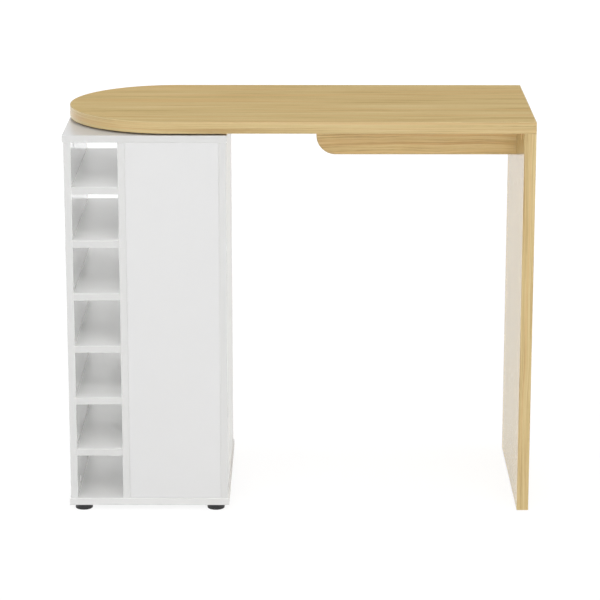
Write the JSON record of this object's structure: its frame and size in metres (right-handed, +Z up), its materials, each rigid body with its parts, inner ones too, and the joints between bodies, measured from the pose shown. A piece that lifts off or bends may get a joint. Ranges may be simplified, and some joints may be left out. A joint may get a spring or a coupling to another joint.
{
  "type": "swivel bar table",
  "caption": "Bar table whose round-ended top, leg panel and apron swivel on an open-backed bottle cabinet with stacked niches and round feet.",
  "frame": {"origin": "on the floor under the middle of the whole table at rest", "axes": "+X from the cabinet to the leg panel, +Z up, -Y is the front where the bottle niches open"},
  "size_m": [1.1849, 0.534, 1.02],
  "materials": {
    "white_board": "white melamine on chipboard, fine matt grain",
    "oak_board": "pale oak decor on chipboard, matt with fine pores",
    "oak_edge": "oak decor edge band, satin",
    "black_plastic": "moulded, fine texture",
    "nylon": "natural moulded nylon",
    "bright_steel": "turned, bright",
    "zinc": "zinc plated",
    "beech": "raw fluted beech"
  },
  "bodies": {
    "cabinet": {"cabinet_top_panel": "white_board", "cabinet_base_panel": "white_board", "side_panel_left": "white_board", "side_panel_right": "white_board", "centre_divider": "white_board", "front_panel": "white_board", "bottle_shelf_1": "white_board", "bottle_shelf_2": "white_board", "bottle_shelf_3": "white_board", "bottle_shelf_4": "white_board", "bottle_shelf_5": "white_board", "bottle_shelf_6": "white_board", "rear_shelf_1": "white_board", "rear_shelf_2": "white_board", "rear_shelf_3": "white_board", "rear_shelf_supports": "zinc", "pivot_bush": "nylon", "thrust_washer": "nylon", "glide_pads": "nylon", "foot_front_left": "black_plastic", "foot_front_right": "black_plastic", "foot_rear_left": "black_plastic", "foot_rear_right": "black_plastic", "foot_screws": "zinc", "carcass_cam_locks": "zinc", "carcass_cam_bolts": "zinc", "carcass_dowels": "beech", "bottle_shelf_dowels": "beech", "front_panel_dowels": "beech"},
    "table": {"table_top": "oak_board", "top_edge_band": "oak_edge", "leg_panel": "oak_board", "leg_edge_bands": "oak_edge", "apron_board": "oak_board", "apron_edge_band": "oak_edge", "leg_glides": "black_plastic", "pivot_plate": "bright_steel", "pivot_plate_screws": "zinc", "pivot_washer": "bright_steel", "pivot_lock_nut": "bright_steel", "leg_cam_locks": "zinc", "leg_cam_bolts": "zinc", "leg_dowels": "beech", "apron_cam_locks": "zinc", "apron_cam_bolts": "zinc", "apron_dowels": "beech"}
  },
  "joints": [
    {"name": "table_swivel", "type": "hinge", "parent": "cabinet", "child": "table", "pos_m": [-0.3255, 0, 0.985], "axis": [0, 0, 1], "range_deg": [-130, 220]}
  ]
}
